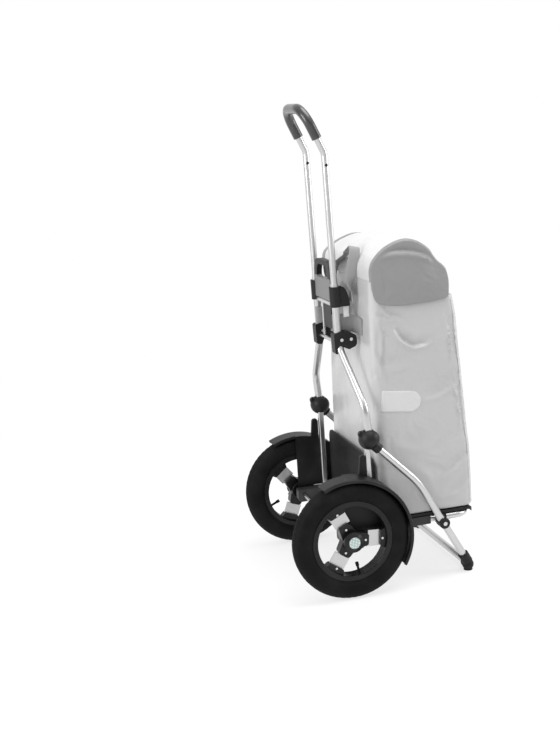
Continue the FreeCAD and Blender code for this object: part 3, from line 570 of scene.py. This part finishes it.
def fold_relief(y, z):
    """The arched fold that crosses an ear: a soft ridge with a hollow above it."""
    start, end = lid_place(0.93, 0.78), lid_place(0.08, 0.54)
    along = (end - start).normalized()
    from_start = Vector((y, z)) - start
    run = from_start.dot(along) / (end - start).length
    above = from_start.x * along.y - from_start.y * along.x
    above -= 0.019 * math.sin(math.pi * min(max(run, 0.0), 1.0)) ** 0.8
    fade = ease(run, -0.04, 0.10) * (1 - ease(run, 0.94, 1.06))
    hollow = math.exp(-((above - 0.010) / (0.005 if above < 0.010 else 0.016)) ** 2)
    return fade * (0.0045 * math.exp(-((above + 0.003) / 0.006) ** 2) - 0.0115 * hollow)


def ear_relief(share, along, y, z, sign):
    """How far an ear's fabric stands out or falls in."""
    crown = 0.0035 * math.sin(math.pi * share) ** 0.8 * math.sin(math.pi * along)
    dent_y, dent_z = lid_place(0.86, 0.30)
    dent = -0.004 * math.exp(-((y - dent_y) / 0.010) ** 2 - ((z - dent_z) / 0.035) ** 2)
    ripple = 0.0022 * noise.noise(Vector((y * 19, z * 15, sign * 4.0)))
    return crown + (fold_relief(y, z) + ripple + dent) * math.sin(math.pi * share) ** 0.5


def hood_lines(count):
    top = smooth_line([lid_place(*p) for p in EAR_TOP], count)
    low = smooth_line([lid_place(*p) for p in EAR_LOW], count)
    return top, low, outward(top)


def slump(x, z):
    """The hood sinks a little towards its right side, most at the crest."""
    share = (x / lid_high.x + 1) / 2
    return HOOD_SLUMP * share ** 2 * ease(z, lid_low.z + 0.5 * (lid_high.z - lid_low.z), lid_high.z)


def edge_radius(along):
    """The rounding between roof and ear is small over the crest and fuller down the front."""
    return 0.0035 + 0.006 * ease(along, 0.6, 0.8)


def make_roof(count):
    top, _, out = hood_lines(count)
    half, across, steps = lid_high.x - 0.0015, 46, 6
    points, columns = [], across + 1 + 2 * steps
    for i in range(count):
        along = i / (count - 1)
        ends = math.sin(math.pi * along) ** 0.5
        radius = edge_radius(along)
        arc = [(half - radius * (1 - math.sin(t)), radius * math.cos(t))
               for t in (math.pi / 2 * k / steps for k in range(steps, 0, -1))]
        flat = [(-half + radius + 2 * (half - radius) * k / across, radius) for k in range(across + 1)]
        section = [(-x, rise) for x, rise in arc] + flat + arc[::-1]
        for x, rise in section:
            u = x / half
            loose = ends * (1 - u ** 4) * ease(along, 0.0, 0.12)
            wave = 0.0045 * noise.noise(Vector((x * 6, along * 5, 2.0)))
            ripple = 0.0016 * noise.noise(Vector((x * 20, along * 16, 7.0)))
            lift = rise - radius + loose * (wave + ripple)
            p = top[i] + out[i] * lift
            points.append(Vector((x, p.x, p.y - slump(x, p.y))))
    roof = make_piece("hood_roof", points, grid_faces(count, columns), look["lid"], "bag_lid")
    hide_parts("bag_lid")
    return roof


def make_ear(side, count):
    """An ear laps over the roof's edge and fills the space down to its own lower edge."""
    top, low, out = hood_lines(count)
    sign, half, rows, laps, wrap = SIDES[side], lid_high.x - 0.0003, 60, 8, EAR_WRAP[side]
    points = []
    for lap in range(laps):
        for i in range(count):
            radius = edge_radius(i / (count - 1)) + 0.0012
            turn = math.pi / 2 * max(lap - 3, 0) / (laps - 3)
            inward = wrap * (1 - min(lap / 3, 1.0))
            x = sign * (half - radius * (1 - math.sin(turn)) - inward)
            p = top[i] + out[i] * (0.0014 - radius * (1 - math.cos(turn)))
            points.append(Vector((x, p.x, p.y - slump(x, p.y))))
    for row in range(rows):
        share = row / (rows - 1)
        for i in range(count):
            p = top[i].lerp(low[i], share)
            relief = ear_relief(share, i / (count - 1), p.x, p.y, sign) * ease(share, 0.02, 0.2)
            relief -= 0.002 * ease(share, 0.8, 1.0)
            x = sign * (half + relief)
            points.append(Vector((x, p.x, p.y - slump(x, p.y))))
    faces = grid_faces(laps + rows, count)
    if sign > 0:
        faces = [f[::-1] for f in faces]
    return make_piece("hood_ear_" + side, points, faces, look["ear"], "bag_lid")


def make_hood():
    """The hood: one arched roof of light fabric between two dark ears."""
    pieces = [make_roof(120)] + [make_ear(side, 120) for side in SIDES]
    for piece in pieces:
        solidify(piece, 0.0018, even=False)
    return pieces


# Webbing, patches and piping ------------------------------------------------------------


def carry_strap():
    """The carrying loop: it rises from the bracket's left hook, folds over, and runs to the right hook."""
    route = [at(-73, -82, 690), at(-74, -82.5, 712), at(-79, -81, 730), at(-86, -80, 750), at(-89, -83, 775),
             at(-90, -89, 800), at(-87, -93, 815), at(-80, -94, 822), at(-70, -93, 817), at(-44, -91, 804),
             at(-4, -88, 788), at(36, -85, 770), at(66, -83, 748), at(75, -83, 725), at(73, -82, 692)]
    path = smooth_line(route, 120)
    widths = []
    for i, point in enumerate(path):
        turn = math.pi / 2 * (1 - ease(point.z, 0.705, 0.762))
        side = 1 if i < 60 else -1
        widths.append(Vector((-math.sin(turn) * side + 0.1, math.cos(turn), 0.25 * side * math.cos(turn))))
    return ribbon("carry_strap", path, widths, 0.0018, look["webbing"], "upper_frame", width=0.026)


def hook_tongue(side):
    """Pale webbing tongue that comes down from a bag hook to the tube tab."""
    x = SIDES[side] * 74
    path = smooth_line([at(x, -67.5, 684), at(x, -67.2, 672), at(x, -67.6, 654)], 12)
    return ribbon("hook_tongue_" + side, path, [Vector((0, 1, 0))] * 12, 0.0018, look["tape"], "upper_frame",
                  width=0.0145)


def tube_tab(side):
    """Webbing tab between an upright tube and the bag: round the tube's inner side, then flat on the bag."""
    sign, bag_y = SIDES[side], (rear_at(0.635) - AXLE.y) * 1000 + 1.4
    stations = [(67, -33.5, 641), (63.5, -38, 641), (63, -48, 641), (64, -64, 639), (66, -84, 635),
                (70, bag_y + 4, 632), (78, bag_y, 631), (92, bag_y, 630), (104, bag_y, 629)]
    route = [at(sign * x, y, z) for x, y, z in stations]
    path = smooth_line(route, 60)
    return ribbon("tube_tab_" + side, path, [Vector((0, 0, 1))] * len(path), 0.0016, look["webbing"],
                  "upper_frame", width=0.042)


def on_bag(tree, side, y, z, lift):
    """The point of the bag's side panel at a depth and height, lifted off the fabric."""
    sign = SIDES[side]
    hit = tree.ray_cast(Vector((sign * 0.4, y, z)), Vector((-sign, 0, 0)))[0]
    return hit + Vector((sign * lift, 0, 0))


def reflective_patch(tree, side):
    """A D-shaped reflective patch sewn on a side panel."""
    start, tip, half = Vector((-109.4, 459.4)), Vector((-208.7, 447.9)), 26.0
    along = (tip - start).normalized()
    across, length = Vector((-along.y, along.x)), (tip - start).length
    rows, columns, points = 40, 15, []
    for row in range(rows):
        run = length * math.sin(math.pi / 2 * row / (rows - 1)) ** 0.8
        into = max(run - (length - half), 0.0)
        reach = math.sqrt(max(half ** 2 - into ** 2, 0.04))
        for column in range(columns):
            spot = start + along * run + across * reach * (2 * column / (columns - 1) - 1)
            points.append(on_bag(tree, side, spot.x / 1000 + AXLE.y, spot.y / 1000, 0.0009))
    faces = grid_faces(rows, columns)
    if side == "right":
        faces = [face[::-1] for face in faces]
    patch = make_piece("reflective_patch_" + side, points, faces, look["patch"], "chassis")
    solidify(patch, 0.0008)
    return patch


def cord(name, path, radius, material, body):
    """A thin round bead along a path."""
    points, ring = [], 8
    for i, point in enumerate(path):
        ahead = (path[min(i + 1, len(path) - 1)] - path[max(i - 1, 0)]).normalized()
        first = ahead.orthogonal().normalized()
        if i and first.dot(last) < 0.9:
            first = (last - ahead * last.dot(ahead)).normalized()
        last, second = first, ahead.cross(first)
        for k in range(ring):
            turn = math.tau * k / ring
            points.append(point + (first * math.cos(turn) + second * math.sin(turn)) * radius)
    faces = grid_faces(len(path), ring, closed=True)
    faces += [tuple(range(ring))[::-1], tuple(range((len(path) - 1) * ring, len(path) * ring))]
    return make_piece(name, points, faces, material, body)


def front_piping(side):
    """Piping down the seam between a side panel and the front."""
    sign, path = SIDES[side], []
    for step in range(80):
        z = bag_low.z + 0.012 + (RIM_FRONT - 0.004 - bag_low.z - 0.012) * step / 79
        half = BAG_HALF - 0.0005 - 0.003 * (z - bag_low.z) / (bag_high.z - bag_low.z)
        turn = math.radians(30)
        centre = Vector((sign * (half - 0.024), front_at(z) + 0.024, z))
        path.append(centre + Vector((sign * math.cos(turn), -math.sin(turn), 0)) * 0.0246)
    return cord("front_piping_" + side, path, 0.0011, look["lid"], "chassis")


bag = make_bag()
bag_tree = BVHTree.FromObject(bag, bpy.context.evaluated_depsgraph_get())
soft_pieces = [bag] + make_hood()
carry_strap()
for side in SIDES:
    make_tyre(side)
    tube_tab(side)
    hook_tongue(side)
    soft_pieces += [reflective_patch(bag_tree, side), front_piping(side)]

for piece in soft_pieces:
    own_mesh(piece)


# Stage, light and camera ----------------------------------------------------------------


def set_stage():
    """A white floor that turns into plain white light with distance, so that no horizon shows."""
    reach = 60.0
    mesh = bpy.data.meshes.new("floor")
    mesh.from_pydata([(-reach, -reach, 0), (reach, -reach, 0), (reach, reach, 0), (-reach, reach, 0)],
                     [], [(0, 1, 2, 3)])
    floor = bpy.data.objects.new("floor", mesh)
    scene.collection.objects.link(floor)
    g = Graph("floor_paper")
    distance = g.add("ShaderNodeVectorMath", {0: g.place}, operation="LENGTH").outputs["Value"]
    share = g.add("ShaderNodeMapRange", {"Value": distance, "From Min": 0.3, "From Max": 2.0, "To Min": 0.7},
                  interpolation_type="SMOOTHSTEP").outputs[0]
    glow = g.add("ShaderNodeEmission", {"Color": grey(1.0), "Strength": 1.0})
    g.finish(grey(0.92), 0.9, Specular_IOR_Level=0.1)
    mix = g.add("ShaderNodeMixShader", {0: share})
    g.tree.links.new(g.shader.outputs[0], mix.inputs[1])
    g.tree.links.new(glow.outputs[0], mix.inputs[2])
    g.tree.links.new(mix.outputs[0], g.tree.nodes["Material Output"].inputs["Surface"])
    floor.data.materials.append(g.material)


def set_world():
    """White behind everything, and a softer, graded studio for the light that falls on the trolley."""
    world = bpy.data.worlds.new("studio")
    scene.world = world
    world.use_nodes = True
    tree = world.node_tree
    background = tree.nodes["Background"]
    place = tree.nodes.new("ShaderNodeTexCoord")
    split = tree.nodes.new("ShaderNodeSeparateXYZ")
    tree.links.new(place.outputs["Generated"], split.inputs[0])
    ramp = tree.nodes.new("ShaderNodeValToRGB")
    lift = tree.nodes.new("ShaderNodeMath")
    lift.operation, lift.inputs[1].default_value, lift.inputs[2].default_value = "MULTIPLY_ADD", 0.5, 0.5
    tree.links.new(split.outputs["Z"], lift.inputs[0])
    tree.links.new(lift.outputs[0], ramp.inputs[0])
    stops = [(0.0, 0.62), (0.47, 0.5), (0.53, 0.28), (0.66, 0.5), (0.8, 0.85), (1.0, 1.0)]
    ramp.color_ramp.elements[0].position = stops[0][0]
    ramp.color_ramp.elements[1].position = stops[-1][0]
    for position, value in stops[1:-1]:
        ramp.color_ramp.elements.new(position)
    for element, (position, value) in zip(ramp.color_ramp.elements, stops):
        element.position, element.color = position, grey(value)
    glow = tree.nodes.new("ShaderNodeMapRange")
    glow.interpolation_type = "SMOOTHSTEP"
    glow.inputs["From Min"].default_value, glow.inputs["From Max"].default_value = 0.3, 0.9
    tree.links.new(split.outputs["X"], glow.inputs["Value"])
    backdrop = tree.nodes.new("ShaderNodeMix")
    backdrop.data_type = "RGBA"
    tree.links.new(glow.outputs[0], backdrop.inputs["Factor"])
    tree.links.new(ramp.outputs[0], backdrop.inputs["A"])
    backdrop.inputs["B"].default_value = grey(0.95)
    path = tree.nodes.new("ShaderNodeLightPath")
    mix = tree.nodes.new("ShaderNodeMix")
    mix.data_type = "RGBA"
    tree.links.new(path.outputs["Is Camera Ray"], mix.inputs["Factor"])
    tree.links.new(backdrop.outputs["Result"], mix.inputs["A"])
    mix.inputs["B"].default_value = grey(1.0)
    tree.links.new(mix.outputs["Result"], background.inputs["Color"])
    background.inputs["Strength"].default_value = 1.0


def area_light(name, place, target, size, power):
    data = bpy.data.lights.new(name, "AREA")
    data.shape, data.size, data.energy = "DISK", size, power
    lamp = bpy.data.objects.new(name, data)
    scene.collection.objects.link(lamp)
    lamp.location = place
    lamp.rotation_mode = "QUATERNION"
    lamp.rotation_quaternion = (target - place).to_track_quat("-Z", "Y")


def set_camera():
    """The viewpoint is low, on the user's side, looking along the axle and a little down."""
    data = bpy.data.cameras.new("camera")
    data.sensor_width, data.lens = 36.0, 60.3
    camera = bpy.data.objects.new("camera", data)
    scene.collection.objects.link(camera)
    right = Vector((-0.27333, -0.95965, -0.06604))
    ahead = Vector((0.94258, -0.25350, -0.21745))
    up = Vector((0.19193, -0.12168, 0.97384))
    turn = Matrix((right, up, -ahead)).transposed().to_4x4()
    camera.matrix_world = Matrix.Translation(at(-2903.2, 868.5, 1188.0)) @ turn
    scene.camera = camera


set_stage()
set_world()
focus = at(0, -100, 550)
area_light("top_light", at(-300, -700, 3000), focus, 2.0, 42.0)
area_light("load_side_light", at(-700, -2800, 1300), focus, 1.6, 30.0)
area_light("user_side_light", at(-900, 2600, 1500), focus, 1.6, 41.0)
set_camera()
scene.view_settings.view_transform = "Standard"
